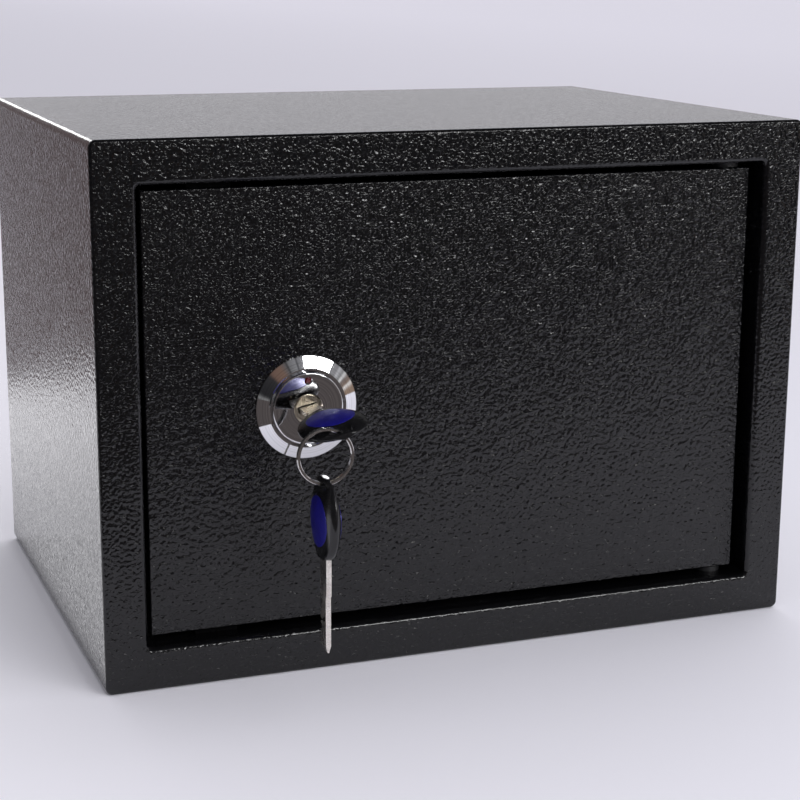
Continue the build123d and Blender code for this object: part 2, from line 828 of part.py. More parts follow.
with BuildPart() as key_ring:
    with BuildSketch(Plane(origin=ring_centre, x_dir=ring_across, z_dir=(0, 0, 1))) as ring_section:
        with Locations((ring_radius, 0)):
            Rectangle(ring_wire_depth, ring_width)
        chamfer(ring_section.vertices(), length=ring_turn_chamfer)
        with Locations(
            (ring_radius - ring_wire_depth / 2, 0), (ring_radius + ring_wire_depth / 2, 0)
        ):
            Rectangle(ring_groove, ring_groove, rotation=45, mode=Mode.SUBTRACT)
    revolve(axis=Axis(ring_centre, ring_plane.z_dir))
    for angle, side in ((ring_split_angle, 1), (ring_split_angle + ring_split_step, -1)):
        with BuildSketch(ring_plane):
            with PolarLocations(ring_radius, 1, start_angle=angle):
                Rectangle(2 * ring_wire_depth, ring_split_gap)
        extrude(amount=side * ring_width, mode=Mode.SUBTRACT)
save(key_ring.part, "key_ring")


# The second key hangs from the bottom of the ring, edge on to the door

wire_corner = sqrt((ring_wire_depth / 2 - ring_turn_chamfer) ** 2 + ring_turn_width**2)
hole_drop = bow_hole_width / 2 - wire_corner - ring_hole_play
hang_z = ring_centre.Z - ring_radius - hole_drop - (bow_length - bow_hole_inset)
key_2_plane = Plane(
    origin=(ring_centre.X, ring_centre.Y, hang_z),
    x_dir=(0, 1, 0),
    z_dir=(0, 0, 1),
)
make_key(key_2_plane, "key_2")
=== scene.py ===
"""Looks and studio for a small key-lock steel safe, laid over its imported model.

Lengths are in metres in the safe's own frame: X to the right of the door, Y from the door
to the back and Z up from the underside. Colours are linear.
"""

from __future__ import annotations

import json
import logging
from abc import ABC, abstractmethod
from dataclasses import dataclass, field
from enum import Enum
from math import cos, pi, radians, sin

import bmesh
import bpy
from mathutils import Matrix, Quaternion, Vector, noise

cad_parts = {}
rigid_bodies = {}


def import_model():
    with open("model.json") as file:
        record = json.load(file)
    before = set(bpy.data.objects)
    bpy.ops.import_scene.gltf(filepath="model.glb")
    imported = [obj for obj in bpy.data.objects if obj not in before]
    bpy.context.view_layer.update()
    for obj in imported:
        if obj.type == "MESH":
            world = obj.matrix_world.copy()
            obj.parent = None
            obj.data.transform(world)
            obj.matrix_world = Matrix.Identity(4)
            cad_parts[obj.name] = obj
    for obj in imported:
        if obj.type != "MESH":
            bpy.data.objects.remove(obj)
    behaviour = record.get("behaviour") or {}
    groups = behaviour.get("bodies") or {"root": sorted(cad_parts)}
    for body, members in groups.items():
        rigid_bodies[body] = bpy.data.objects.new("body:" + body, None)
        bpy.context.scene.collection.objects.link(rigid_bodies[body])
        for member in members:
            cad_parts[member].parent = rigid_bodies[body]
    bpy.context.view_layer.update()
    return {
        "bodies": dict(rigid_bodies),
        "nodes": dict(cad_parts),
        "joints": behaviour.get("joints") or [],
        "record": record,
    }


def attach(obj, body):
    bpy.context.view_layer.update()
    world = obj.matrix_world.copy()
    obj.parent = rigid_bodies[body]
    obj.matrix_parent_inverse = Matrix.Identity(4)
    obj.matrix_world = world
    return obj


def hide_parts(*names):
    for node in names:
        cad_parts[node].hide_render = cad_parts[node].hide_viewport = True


log = logging.getLogger("safe")

Colour = tuple[float, float, float]
Place = tuple[float, float, float]
Span = tuple[float, float]
Feed = bpy.types.NodeSocket | float | Colour | Place

MM = 0.001


class Maths(Enum):
    """The number operations that the finishes and the studio use."""

    ADD = "ADD"
    LESS = "SUBTRACT"
    TIMES = "MULTIPLY"
    ABSOLUTE = "ABSOLUTE"
    HIGHEST = "MAXIMUM"


class Way(Enum):
    """Which way a studio card's tones run, as an axis of the card."""

    ACROSS = 0
    UP = 1


# Node trees


class Bench:
    """A node tree with short ways to add nodes and join them.

    The mix node keeps a set of sockets for each kind of value: these are its colour ones.
    """

    mix_inputs = (0, 6, 7)
    mix_output = 2

    def __init__(self, tree: bpy.types.NodeTree) -> None:
        """Take a tree to work on.

        Args:
            tree: The node tree of a material, a world or a group.
        """
        self.tree = tree

    def add(self, kind: str, **settings: object) -> bpy.types.Node:
        """Add a node and set its options.

        Args:
            kind: The node's Blender type name.
            **settings: Options of the node, by name.

        Returns:
            The new node.
        """
        node = self.tree.nodes.new(kind)
        for name, value in settings.items():
            setattr(node, name, value)
        return node

    def feed(self, socket: bpy.types.NodeSocket, value: Feed) -> None:
        """Give an input socket a link or a plain value.

        Args:
            socket: The input.
            value: An output to link, a number, or three numbers.
        """
        if isinstance(value, bpy.types.NodeSocket):
            self.tree.links.new(value, socket)
        elif socket.type == "RGBA":
            socket.default_value = (*value, 1.0)
        else:
            socket.default_value = value

    def maths(
        self, operation: Maths, first: Feed, second: Feed = 0.0, clamp: bool = False
    ) -> bpy.types.NodeSocket:
        """Work out one number from two.

        Args:
            operation: What to do.
            first: The first number.
            second: The second number.
            clamp: Whether to hold the result between 0 and 1.

        Returns:
            The result's socket.
        """
        node = self.add("ShaderNodeMath", operation=operation.value, use_clamp=clamp)
        self.feed(node.inputs[0], first)
        self.feed(node.inputs[1], second)
        return node.outputs[0]

    def rise(
        self, value: Feed, low: float, high: float, bottom: float = 0.0, top: float = 1.0
    ) -> bpy.types.NodeSocket:
        """Turn a number into a smooth step.

        Args:
            value: The number.
            low: Where the step starts.
            high: Where the step ends.
            bottom: The result before the step.
            top: The result after the step.

        Returns:
            The result's socket.
        """
        node = self.add("ShaderNodeMapRange", interpolation_type="SMOOTHSTEP")
        for index, part in enumerate((value, low, high, bottom, top)):
            self.feed(node.inputs[index], part)
        return node.outputs[0]

    def mix(self, share: Feed, first: Feed, second: Feed) -> bpy.types.NodeSocket:
        """Blend two colours.

        Args:
            share: The second colour's share.
            first: The first colour.
            second: The second colour.

        Returns:
            The blended colour's socket.
        """
        node = self.add("ShaderNodeMix", data_type="RGBA")
        for index, part in zip(self.mix_inputs, (share, first, second)):
            self.feed(node.inputs[index], part)
        return node.outputs[self.mix_output]

    def place(self) -> bpy.types.NodeSocket:
        """Give the point on the piece, in metres, which moves with the piece."""
        return self.add("ShaderNodeTexCoord").outputs["Object"]

    def grain(
        self, where: Feed, scale: Feed, detail: float = 2.0
    ) -> bpy.types.NodeSocket:
        """Add soft random grain.

        Args:
            where: The point to look up.
            scale: Grains per metre.
            detail: How many finer layers to add.

        Returns:
            The grain's socket.
        """
        node = self.add("ShaderNodeTexNoise")
        self.feed(node.inputs["Vector"], where)
        self.feed(node.inputs["Scale"], scale)
        node.inputs["Detail"].default_value = detail
        return node.outputs["Fac"]

    def stretch(self, where: Feed, scale: Feed) -> bpy.types.NodeSocket:
        """Scale a point along each axis.

        Args:
            where: The point.
            scale: Three factors.

        Returns:
            The scaled point's socket.
        """
        node = self.add("ShaderNodeVectorMath", operation="MULTIPLY")
        self.feed(node.inputs[0], where)
        self.feed(node.inputs[1], scale)
        return node.outputs[0]

    def bump(self, height: Feed, depth: float) -> bpy.types.NodeSocket:
        """Turn a height into a surface normal.

        Args:
            height: The height, as a multiple of the depth.
            depth: How far a height of 1 stands out, in metres.

        Returns:
            The normal's socket.
        """
        node = self.add("ShaderNodeBump")
        node.inputs["Distance"].default_value = depth
        self.feed(node.inputs["Height"], height)
        return node.outputs["Normal"]


# Effects that several finishes share


@dataclass(frozen=True)
class Port:
    """One named input of an effect, with its usual value."""

    name: str
    value: float | Place

    def open_on(self, tree: bpy.types.NodeTree) -> None:
        """Add this input to a group.

        Args:
            tree: The group.
        """
        kind = "NodeSocketFloat" if isinstance(self.value, float) else "NodeSocketVector"
        socket = tree.interface.new_socket(name=self.name, in_out="INPUT", socket_type=kind)
        socket.default_value = self.value


class Effect(ABC):
    """A shader effect that is built once as a node group and placed in many materials."""

    title: str
    ports: tuple[Port, ...]
    results: tuple[str, ...]

    def __init__(self) -> None:
        """Build the group with its inputs and outputs."""
        self.tree = bpy.data.node_groups.new(self.title, "ShaderNodeTree")
        for port in self.ports:
            port.open_on(self.tree)
        for name in self.results:
            self.tree.interface.new_socket(
                name=name, in_out="OUTPUT", socket_type="NodeSocketFloat"
            )
        bench = Bench(self.tree)
        inputs = bench.add("NodeGroupInput")
        outputs = bench.add("NodeGroupOutput")
        made = self.build(bench, inputs.outputs)
        for name, socket in zip(self.results, made):
            bench.feed(outputs.inputs[name], socket)

    @abstractmethod
    def build(
        self, bench: Bench, ports: bpy.types.bpy_prop_collection
    ) -> tuple[bpy.types.NodeSocket, ...]:
        """Add the effect's nodes.

        Args:
            bench: The group's bench.
            ports: The group's inputs.

        Returns:
            The sockets of the results, in order.
        """

    def lay(self, bench: Bench, **values: Feed) -> bpy.types.bpy_prop_collection:
        """Place the effect in a material.

        Args:
            bench: The material's bench.
            **values: Input values by name, with underscores for spaces.

        Returns:
            The placed group's outputs.
        """
        node = bench.add("ShaderNodeGroup", node_tree=self.tree)
        for name, value in values.items():
            bench.feed(node.inputs[name.replace("_", " ")], value)
        return node.outputs


class HammeredGrain(Effect):
    """The low swells and narrow creases of a hammered powder coat."""

    title = "hammered grain"
    ports = (
        Port("creases", 700.0),
        Port("crease share", 0.3),
        Port("swells", 560.0),
        Port("swell share", 3.0),
        Port("bend share", 0.35),
    )
    results = ("height", "crest")
    softness = 0.4
    middle = 0.5
    crease_width = 0.085
    mid_height = 1.8
    bent_below = 0.94
    flat_above = 0.998

    def build(
        self, bench: Bench, ports: bpy.types.bpy_prop_collection
    ) -> tuple[bpy.types.NodeSocket, ...]:
        """Cut creases along a noise's middle level, over slower swells.

        The coat flows thinner over the bends, so its relief is lower there.

        Args:
            bench: The group's bench.
            ports: The group's inputs.

        Returns:
            The relief's height, and a mask of the ground between the creases.
        """
        where = bench.place()
        level = bench.maths(
            Maths.LESS, bench.grain(where, ports["creases"], self.softness), self.middle
        )
        top = bench.rise(bench.maths(Maths.ABSOLUTE, level), 0.0, self.crease_width)
        swell = bench.grain(where, ports["swells"], self.softness)
        height = bench.maths(
            Maths.ADD,
            bench.maths(Maths.TIMES, top, ports["crease share"]),
            bench.maths(Maths.TIMES, swell, ports["swell share"]),
        )
        facing = bench.add("ShaderNodeVectorMath", operation="ABSOLUTE")
        bench.feed(facing.inputs[0], bench.add("ShaderNodeTexCoord").outputs["Normal"])
        parts = bench.add("ShaderNodeSeparateXYZ")
        bench.feed(parts.inputs[0], facing.outputs[0])
        widest = bench.maths(
            Maths.HIGHEST,
            bench.maths(Maths.HIGHEST, parts.outputs["X"], parts.outputs["Y"]),
            parts.outputs["Z"],
        )
        flat = bench.rise(widest, self.bent_below, self.flat_above)
        share = bench.maths(
            Maths.ADD,
            bench.maths(Maths.TIMES, flat, bench.maths(Maths.LESS, 1.0, ports["bend share"])),
            ports["bend share"],
        )
        centred = bench.maths(Maths.LESS, height, self.mid_height)
        return bench.maths(Maths.TIMES, centred, share), top


class EdgeRub(Effect):
    """Where hands and cloths have rubbed the outer edges."""

    title = "edge rub"
    ports = (Port("reach", 0.9 * MM), Port("breakup", 260.0))
    results = ("mask",)
    edge_span = (0.985, 0.86)
    speck_span = (0.42, 0.66)

    def build(
        self, bench: Bench, ports: bpy.types.bpy_prop_collection
    ) -> tuple[bpy.types.NodeSocket, ...]:
        """Compare rounded and true normals and break the line up.

        Args:
            bench: The group's bench.
            ports: The group's inputs.

        Returns:
            A mask of the rubbed edges.
        """
        rounded = bench.add("ShaderNodeBevel", samples=4)
        bench.feed(rounded.inputs["Radius"], ports["reach"])
        true = bench.add("ShaderNodeNewGeometry").outputs["Normal"]
        alike = bench.add("ShaderNodeVectorMath", operation="DOT_PRODUCT")
        bench.feed(alike.inputs[0], rounded.outputs[0])
        bench.feed(alike.inputs[1], true)
        edge = bench.rise(alike.outputs["Value"], *self.edge_span)
        spots = bench.grain(bench.place(), ports["breakup"], detail=3.0)
        speck = bench.rise(spots, *self.speck_span)
        return (bench.maths(Maths.TIMES, edge, speck, clamp=True),)


class TurnedRings(Effect):
    """Fine rings that a lathe leaves round an axis along Y."""

    title = "turned rings"
    ports = (Port("centre", (0.0, 0.0, 0.0)), Port("rings", 5200.0))
    results = ("height", "band")
    ring_detail = 3.0
    bands = 900.0
    band_span = (0.4, 0.62)

    def build(
        self, bench: Bench, ports: bpy.types.bpy_prop_collection
    ) -> tuple[bpy.types.NodeSocket, ...]:
        """Add noise along the distance from the axis.

        Args:
            bench: The group's bench.
            ports: The group's inputs.

        Returns:
            The rings' height, and a mask of wider bands.
        """
        out = bench.add("ShaderNodeVectorMath", operation="SUBTRACT")
        bench.feed(out.inputs[0], bench.place())
        bench.feed(out.inputs[1], ports["centre"])
        flat = bench.stretch(out.outputs[0], (1.0, 0.0, 1.0))
        span = bench.add("ShaderNodeVectorMath", operation="LENGTH")
        bench.feed(span.inputs[0], flat)
        line = bench.add("ShaderNodeTexNoise", noise_dimensions="1D")
        bench.feed(line.inputs["W"], span.outputs["Value"])
        bench.feed(line.inputs["Scale"], ports["rings"])
        line.inputs["Detail"].default_value = self.ring_detail
        wide = bench.add("ShaderNodeTexNoise", noise_dimensions="1D")
        bench.feed(wide.inputs["W"], span.outputs["Value"])
        wide.inputs["Scale"].default_value = self.bands
        return line.outputs["Fac"], bench.rise(wide.outputs["Fac"], *self.band_span)


class BrushedLines(Effect):
    """Fine lines that a belt or a file leaves along one axis."""

    title = "brushed lines"
    ports = (Port("stretch", (3000.0, 60.0, 3000.0)),)
    results = ("height", "streak")
    streak_span = (0.38, 0.64)

    def build(
        self, bench: Bench, ports: bpy.types.bpy_prop_collection
    ) -> tuple[bpy.types.NodeSocket, ...]:
        """Add noise drawn out along the belt's way.

        Args:
            bench: The group's bench.
            ports: The group's inputs.

        Returns:
            The lines' height, and a mask of bright streaks.
        """
        drawn = bench.stretch(bench.place(), ports["stretch"])
        lines = bench.grain(drawn, 1.0, detail=4.0)
        return lines, bench.rise(lines, *self.streak_span)


class HandledFilm(Effect):
    """Dust, wipe marks and the faint film that handling leaves."""

    title = "handled film"
    ports = (Port("patches", 45.0), Port("specks", 900.0))
    results = ("film", "dust")
    film_span = (0.35, 0.7)
    speck_span = (0.16, 0.05)
    dusty_spots = 130.0
    dusty_span = (0.58, 0.72)

    def build(
        self, bench: Bench, ports: bpy.types.bpy_prop_collection
    ) -> tuple[bpy.types.NodeSocket, ...]:
        """Add slow patches and rare specks.

        Args:
            bench: The group's bench.
            ports: The group's inputs.

        Returns:
            A mask of the film, and a mask of the specks of dust.
        """
        where = bench.place()
        patches = bench.grain(where, ports["patches"], detail=4.0)
        film = bench.rise(patches, *self.film_span)
        specks = bench.add("ShaderNodeTexVoronoi", feature="F1")
        bench.feed(specks.inputs["Vector"], where)
        bench.feed(specks.inputs["Scale"], ports["specks"])
        dot = bench.rise(specks.outputs["Distance"], *self.speck_span)
        spots = bench.grain(where, self.dusty_spots, detail=1.0)
        rare = bench.rise(spots, *self.dusty_span)
        return film, bench.maths(Maths.TIMES, dot, rare, clamp=True)


class MattedFibres(Effect):
    """The matted fibres of a needle felt."""

    title = "matted fibres"
    ports = (Port("fibres", 1500.0),)
    results = ("height", "shade")
    drawn_out = 0.25
    clumps = 110.0
    clump_span = (0.3, 0.7)
    shade_span = (0.45, 0.72)

    def build(
        self, bench: Bench, ports: bpy.types.bpy_prop_collection
    ) -> tuple[bpy.types.NodeSocket, ...]:
        """Cross two drawn-out noises over a soft pile.

        Args:
            bench: The group's bench.
            ports: The group's inputs.

        Returns:
            The pile's height, and a mask of the paler fibres.
        """
        where = bench.place()
        along, across = (
            bench.grain(bench.stretch(where, factors), ports["fibres"], detail=3.0)
            for factors in ((self.drawn_out, 1.0, 1.0), (1.0, self.drawn_out, 1.0))
        )
        fibres = bench.maths(Maths.HIGHEST, along, across)
        clumps = bench.rise(bench.grain(where, self.clumps, detail=3.0), *self.clump_span)
        return bench.maths(Maths.ADD, fibres, clumps), bench.rise(fibres, *self.shade_span)


@dataclass
class Effects:
    """The shared effects, each built once."""

    hammered: HammeredGrain = field(default_factory=HammeredGrain)
    rub: EdgeRub = field(default_factory=EdgeRub)
    turned: TurnedRings = field(default_factory=TurnedRings)
    brushed: BrushedLines = field(default_factory=BrushedLines)
    handled: HandledFilm = field(default_factory=HandledFilm)
    fibres: MattedFibres = field(default_factory=MattedFibres)


# Finishes


@dataclass(frozen=True)
class Finish(ABC):
    """A surface finish, with the record's material slot that it belongs to."""

    name: str
    slot: str

    def material(self, effects: Effects) -> bpy.types.Material:
        """Build the finish's material.

        Args:
            effects: The shared effects.

        Returns:
            The new material.
        """
        material = bpy.data.materials.new(self.name)
        material.use_nodes = True
        bench = Bench(material.node_tree)
        shader = next(n for n in bench.tree.nodes if n.type == "BSDF_PRINCIPLED")
        self.dress(bench, shader.inputs, effects)
        return material

    @abstractmethod
    def dress(
        self, bench: Bench, shader: bpy.types.bpy_prop_collection, effects: Effects
    ) -> None:
        """Set the shader's inputs.

        Args:
            bench: The material's bench.
            shader: The inputs of the material's shader.
            effects: The shared effects.
        """


@dataclass(frozen=True)
class HammeredCoat(Finish):
    """Black hammered powder coat with a half gloss, and painted shade in the creases of its
    grain.
    """

    # The coat's colour in the creases of the grain is painted shade, darker than on the crests.
    dark: Colour = (0.001, 0.001, 0.0012)
    pale: Colour = (0.0024, 0.0024, 0.003)
    worn: Colour = (0.035, 0.034, 0.034)
    dust: Colour = (0.2, 0.2, 0.2)
    dustiness: float = 0.25
    relief: float = 0.15 * MM
    gloss: float = 0.08
    dull: float = 0.14
    wear: float = 0.35
    refraction: float = 1.5

    def dress(
        self, bench: Bench, shader: bpy.types.bpy_prop_collection, effects: Effects
    ) -> None:
        """Lay the grain with painted shade darkening its creases, then the rub and the film.

        Args:
            bench: The material's bench.
            shader: The inputs of the material's shader.
            effects: The shared effects.
        """
        grain = effects.hammered.lay(bench)
        film = effects.handled.lay(bench)
        rub = effects.rub.lay(bench)
        # Painted shade: the coat is darker in the creases than on the crests, so the grain
        # shows where the bump fades at grazing angles.
        body = bench.mix(grain["crest"], self.dark, self.pale)
        body = bench.mix(
            bench.maths(Maths.TIMES, rub["mask"], self.wear), body, self.worn
        )
        body = bench.mix(
            bench.maths(Maths.TIMES, film["dust"], self.dustiness), body, self.dust
        )
        bench.feed(shader["Base Color"], body)
        rough = bench.rise(grain["crest"], 0.0, 1.0, self.dull, self.gloss)
        bench.feed(shader["Roughness"], rough)
        shader["IOR"].default_value = self.refraction
        bench.feed(shader["Normal"], bench.bump(grain["height"], self.relief))


@dataclass(frozen=True)
class TurnedMetal(Finish):
    """Metal turned round an axis along Y, polished or plated."""

    bright: Colour = (0.86, 0.86, 0.88)
    shade: Colour = (0.7, 0.7, 0.72)
    centre: Place = (-0.077, 0.0, 0.125)
    rough: float = 0.025
    scuffed: float = 0.06
    relief: float = 0.0008 * MM

    def dress(
        self, bench: Bench, shader: bpy.types.bpy_prop_collection, effects: Effects
    ) -> None:
        """Lay the turned rings and the film.

        Args:
            bench: The material's bench.
            shader: The inputs of the material's shader.
            effects: The shared effects.
        """
        rings = effects.turned.lay(bench, centre=self.centre)
        film = effects.handled.lay(bench, patches=160.0)
        bench.feed(shader["Base Color"], bench.mix(rings["band"], self.bright, self.shade))
        shader["Metallic"].default_value = 1.0
        rough = bench.rise(film["film"], 0.0, 1.0, self.rough, self.scuffed)
        bench.feed(shader["Roughness"], rough)
        bench.feed(shader["Normal"], bench.bump(rings["height"], self.relief))


@dataclass(frozen=True)
class BrushedMetal(Finish):
    """Steel or brass with lines brushed along one axis."""

    bright: Colour = (0.74, 0.73, 0.71)
    shade: Colour = (0.5, 0.49, 0.47)
    stretch: Place = (3000.0, 60.0, 3000.0)
    rough: float = 0.22
    scuffed: float = 0.42
    relief: float = 0.004 * MM
    wear: float = 0.5

    def dress(
        self, bench: Bench, shader: bpy.types.bpy_prop_collection, effects: Effects
    ) -> None:
        """Lay the lines, the rub and the film.

        Args:
            bench: The material's bench.
            shader: The inputs of the material's shader.
            effects: The shared effects.
        """
        lines = effects.brushed.lay(bench, stretch=self.stretch)
        film = effects.handled.lay(bench, patches=120.0)
        rub = effects.rub.lay(bench, reach=0.5 * MM)
        body = bench.mix(lines["streak"], self.shade, self.bright)
        body = bench.mix(
            bench.maths(Maths.TIMES, rub["mask"], self.wear), body, self.bright
        )
        bench.feed(shader["Base Color"], body)
        shader["Metallic"].default_value = 1.0
        rough = bench.rise(film["film"], 0.0, 1.0, self.rough, self.scuffed)
        bench.feed(shader["Roughness"], rough)
        bench.feed(shader["Normal"], bench.bump(lines["height"], self.relief))


@dataclass(frozen=True)
class MouldedPlastic(Finish):
    """Glossy moulded plastic or enamel."""

    body: Colour = (0.004, 0.004, 0.0045)
    glow: Colour = (0.008, 0.008, 0.009)
    rough: float = 0.1
    scuffed: float = 0.26
    lacquer: float = 0.0
    flake: float = 0.0
    lacquer_rough: float = 0.04
    flow_marks: float = 240.0
    relief: float = 0.01 * MM

    def dress(
        self, bench: Bench, shader: bpy.types.bpy_prop_collection, effects: Effects
    ) -> None:
        """Lay the slow flow of the mould and the film.

        Args:
            bench: The material's bench.
            shader: The inputs of the material's shader.
            effects: The shared effects.
        """
        film = effects.handled.lay(bench, patches=140.0, specks=1600.0)
        flow = bench.grain(bench.place(), self.flow_marks)
        bench.feed(shader["Base Color"], bench.mix(flow, self.body, self.glow))
        rough = bench.rise(film["film"], 0.0, 1.0, self.rough, self.scuffed)
        bench.feed(shader["Roughness"], rough)
        shader["Metallic"].default_value = self.flake
        shader["Coat Weight"].default_value = self.lacquer
        shader["Coat Roughness"].default_value = self.lacquer_rough
        bench.feed(shader["Normal"], bench.bump(flow, self.relief))


@dataclass(frozen=True)
class NeedleFelt(Finish):
    """Dark needle felt."""

    low: Colour = (0.012, 0.012, 0.014)
    high: Colour = (0.05, 0.05, 0.056)
    rough: float = 0.95
    sheen: float = 0.4
    sheen_rough: float = 0.5
    relief: float = 0.5 * MM

    def dress(
        self, bench: Bench, shader: bpy.types.bpy_prop_collection, effects: Effects
    ) -> None:
        """Lay the fibres and a soft sheen.

        Args:
            bench: The material's bench.
            shader: The inputs of the material's shader.
            effects: The shared effects.
        """
        fibres = effects.fibres.lay(bench)
        bench.feed(shader["Base Color"], bench.mix(fibres["shade"], self.low, self.high))
        shader["Roughness"].default_value = self.rough
        shader["Sheen Weight"].default_value = self.sheen
        shader["Sheen Roughness"].default_value = self.sheen_rough
        bench.feed(shader["Normal"], bench.bump(fibres["height"], self.relief))


@dataclass(frozen=True)
class Finishes:
    """Every finish on the safe."""

    coat: HammeredCoat = HammeredCoat("black_hammered_coat", "black_coat")
    # A darker copy of the coat for the door stops: duller, with a low refraction index that
    # cuts its shine. This is painted shade for the gaps they sit in.
    shaded_copy_coat: HammeredCoat = HammeredCoat(
        "painted_shade_hammered_coat",
        "black_coat",
        gloss=0.5,
        dull=0.62,
        wear=0.1,
        refraction=1.12,
    )
    chrome: TurnedMetal = TurnedMetal("polished_chrome", "chrome")
    plug: BrushedMetal = BrushedMetal(
        "nickel_washed_brass",
        "plug_brass",
        bright=(0.56, 0.5, 0.4),
        shade=(0.36, 0.32, 0.25),
        stretch=(3200.0, 800.0, 300.0),
        rough=0.26,
        scuffed=0.36,
    )
    zinc: BrushedMetal = BrushedMetal("zinc_plated_steel", "zinc_steel")
    bolt: BrushedMetal = BrushedMetal(
        "bright_turned_steel",
        "bright_steel",
        bright=(0.8, 0.8, 0.8),
        shade=(0.62, 0.62, 0.62),
        stretch=(4200.0, 160.0, 160.0),
        rough=0.14,
        scuffed=0.28,
    )
    blade: BrushedMetal = BrushedMetal(
        "nickelled_key_steel",
        "key_nickel",
        bright=(0.84, 0.8, 0.75),
        shade=(0.66, 0.62, 0.57),
        stretch=(900.0, 900.0, 3600.0),
        rough=0.2,
        scuffed=0.36,
    )
    ring: BrushedMetal = BrushedMetal(
        "bright_ring_steel",
        "chrome",
        bright=(0.88, 0.87, 0.86),
        shade=(0.76, 0.74, 0.73),
        stretch=(700.0, 5000.0, 700.0),
        rough=0.09,
        scuffed=0.16,
    )
    bow: MouldedPlastic = MouldedPlastic(
        "black_moulded_bow", "bow_plastic", rough=0.16, scuffed=0.28
    )
    inlay: MouldedPlastic = MouldedPlastic(
        "deep_blue_enamel",
        "inlay_blue",
        body=(0.005, 0.004, 0.13),
        glow=(0.014, 0.011, 0.32),
        rough=0.3,
        scuffed=0.4,
        lacquer=0.06,
        flake=0.35,
        relief=0.04 * MM,
    )
    index: MouldedPlastic = MouldedPlastic(
        "dark_red_enamel",
        "index_red",
        body=(0.05, 0.0006, 0.002),
        glow=(0.1, 0.002, 0.004),
        lacquer=0.3,
    )
    nylon: MouldedPlastic = MouldedPlastic(
        "black_nylon",
        "bush_nylon",
        body=(0.012, 0.012, 0.013),
        glow=(0.022, 0.022, 0.024),
        rough=0.4,
        scuffed=0.6,
    )
    felt: NeedleFelt = NeedleFelt("dark_needle_felt", "mat_felt")


# The workshop: what every sub-assembly needs


class Workshop:
    """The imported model's nodes, the finishes and the ways to dress and place pieces."""

    def __init__(self, nodes: dict[str, bpy.types.Object]) -> None:
        """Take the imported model.

        Args:
            nodes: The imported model's objects by name.
        """
        self.nodes = nodes
        self.effects = Effects()
        self.finishes = Finishes()
        self.made: dict[str, bpy.types.Material] = {}

    def material(self, finish: Finish) -> bpy.types.Material:
        """Give a finish's material, built the first time it is asked for.

        Args:
            finish: The finish.

        Returns:
            The material.
        """
        if finish.name not in self.made:
            self.made[finish.name] = finish.material(self.effects)
        return self.made[finish.name]

    def paint(self, piece: bpy.types.Object, finish: Finish) -> None:
        """Give a piece one finish all over.

        Args:
            piece: The piece.
            finish: The finish.
        """
        piece.data.materials.clear()
        piece.data.materials.append(self.material(finish))

    def dress(self, finish: Finish, *names: str) -> None:
        """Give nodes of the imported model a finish.

        Args:
            finish: The finish.
            *names: The nodes' names.
        """
        for name in names:
            self.paint(self.nodes[name], finish)
            log.info("dressed %s in %s", name, finish.name)

    def place(
        self, name: str, mesh: bpy.types.Mesh, finish: Finish, body: str, *replaced: str
    ) -> bpy.types.Object:
        """Place a new piece on a body.

        Args:
            name: The piece's name.
            mesh: Its mesh, in the safe's frame.
            finish: Its finish.
            body: The body that it moves with.
            *replaced: The nodes that it stands for.

        Returns:
            The new piece.
        """
        piece = bpy.data.objects.new(name, mesh)
        bpy.context.scene.collection.objects.link(piece)
        self.paint(piece, finish)
        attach(piece, body)
        if replaced:
            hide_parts(*replaced)
        log.info("placed %s on %s", name, body)
        return piece


# Sub-assemblies


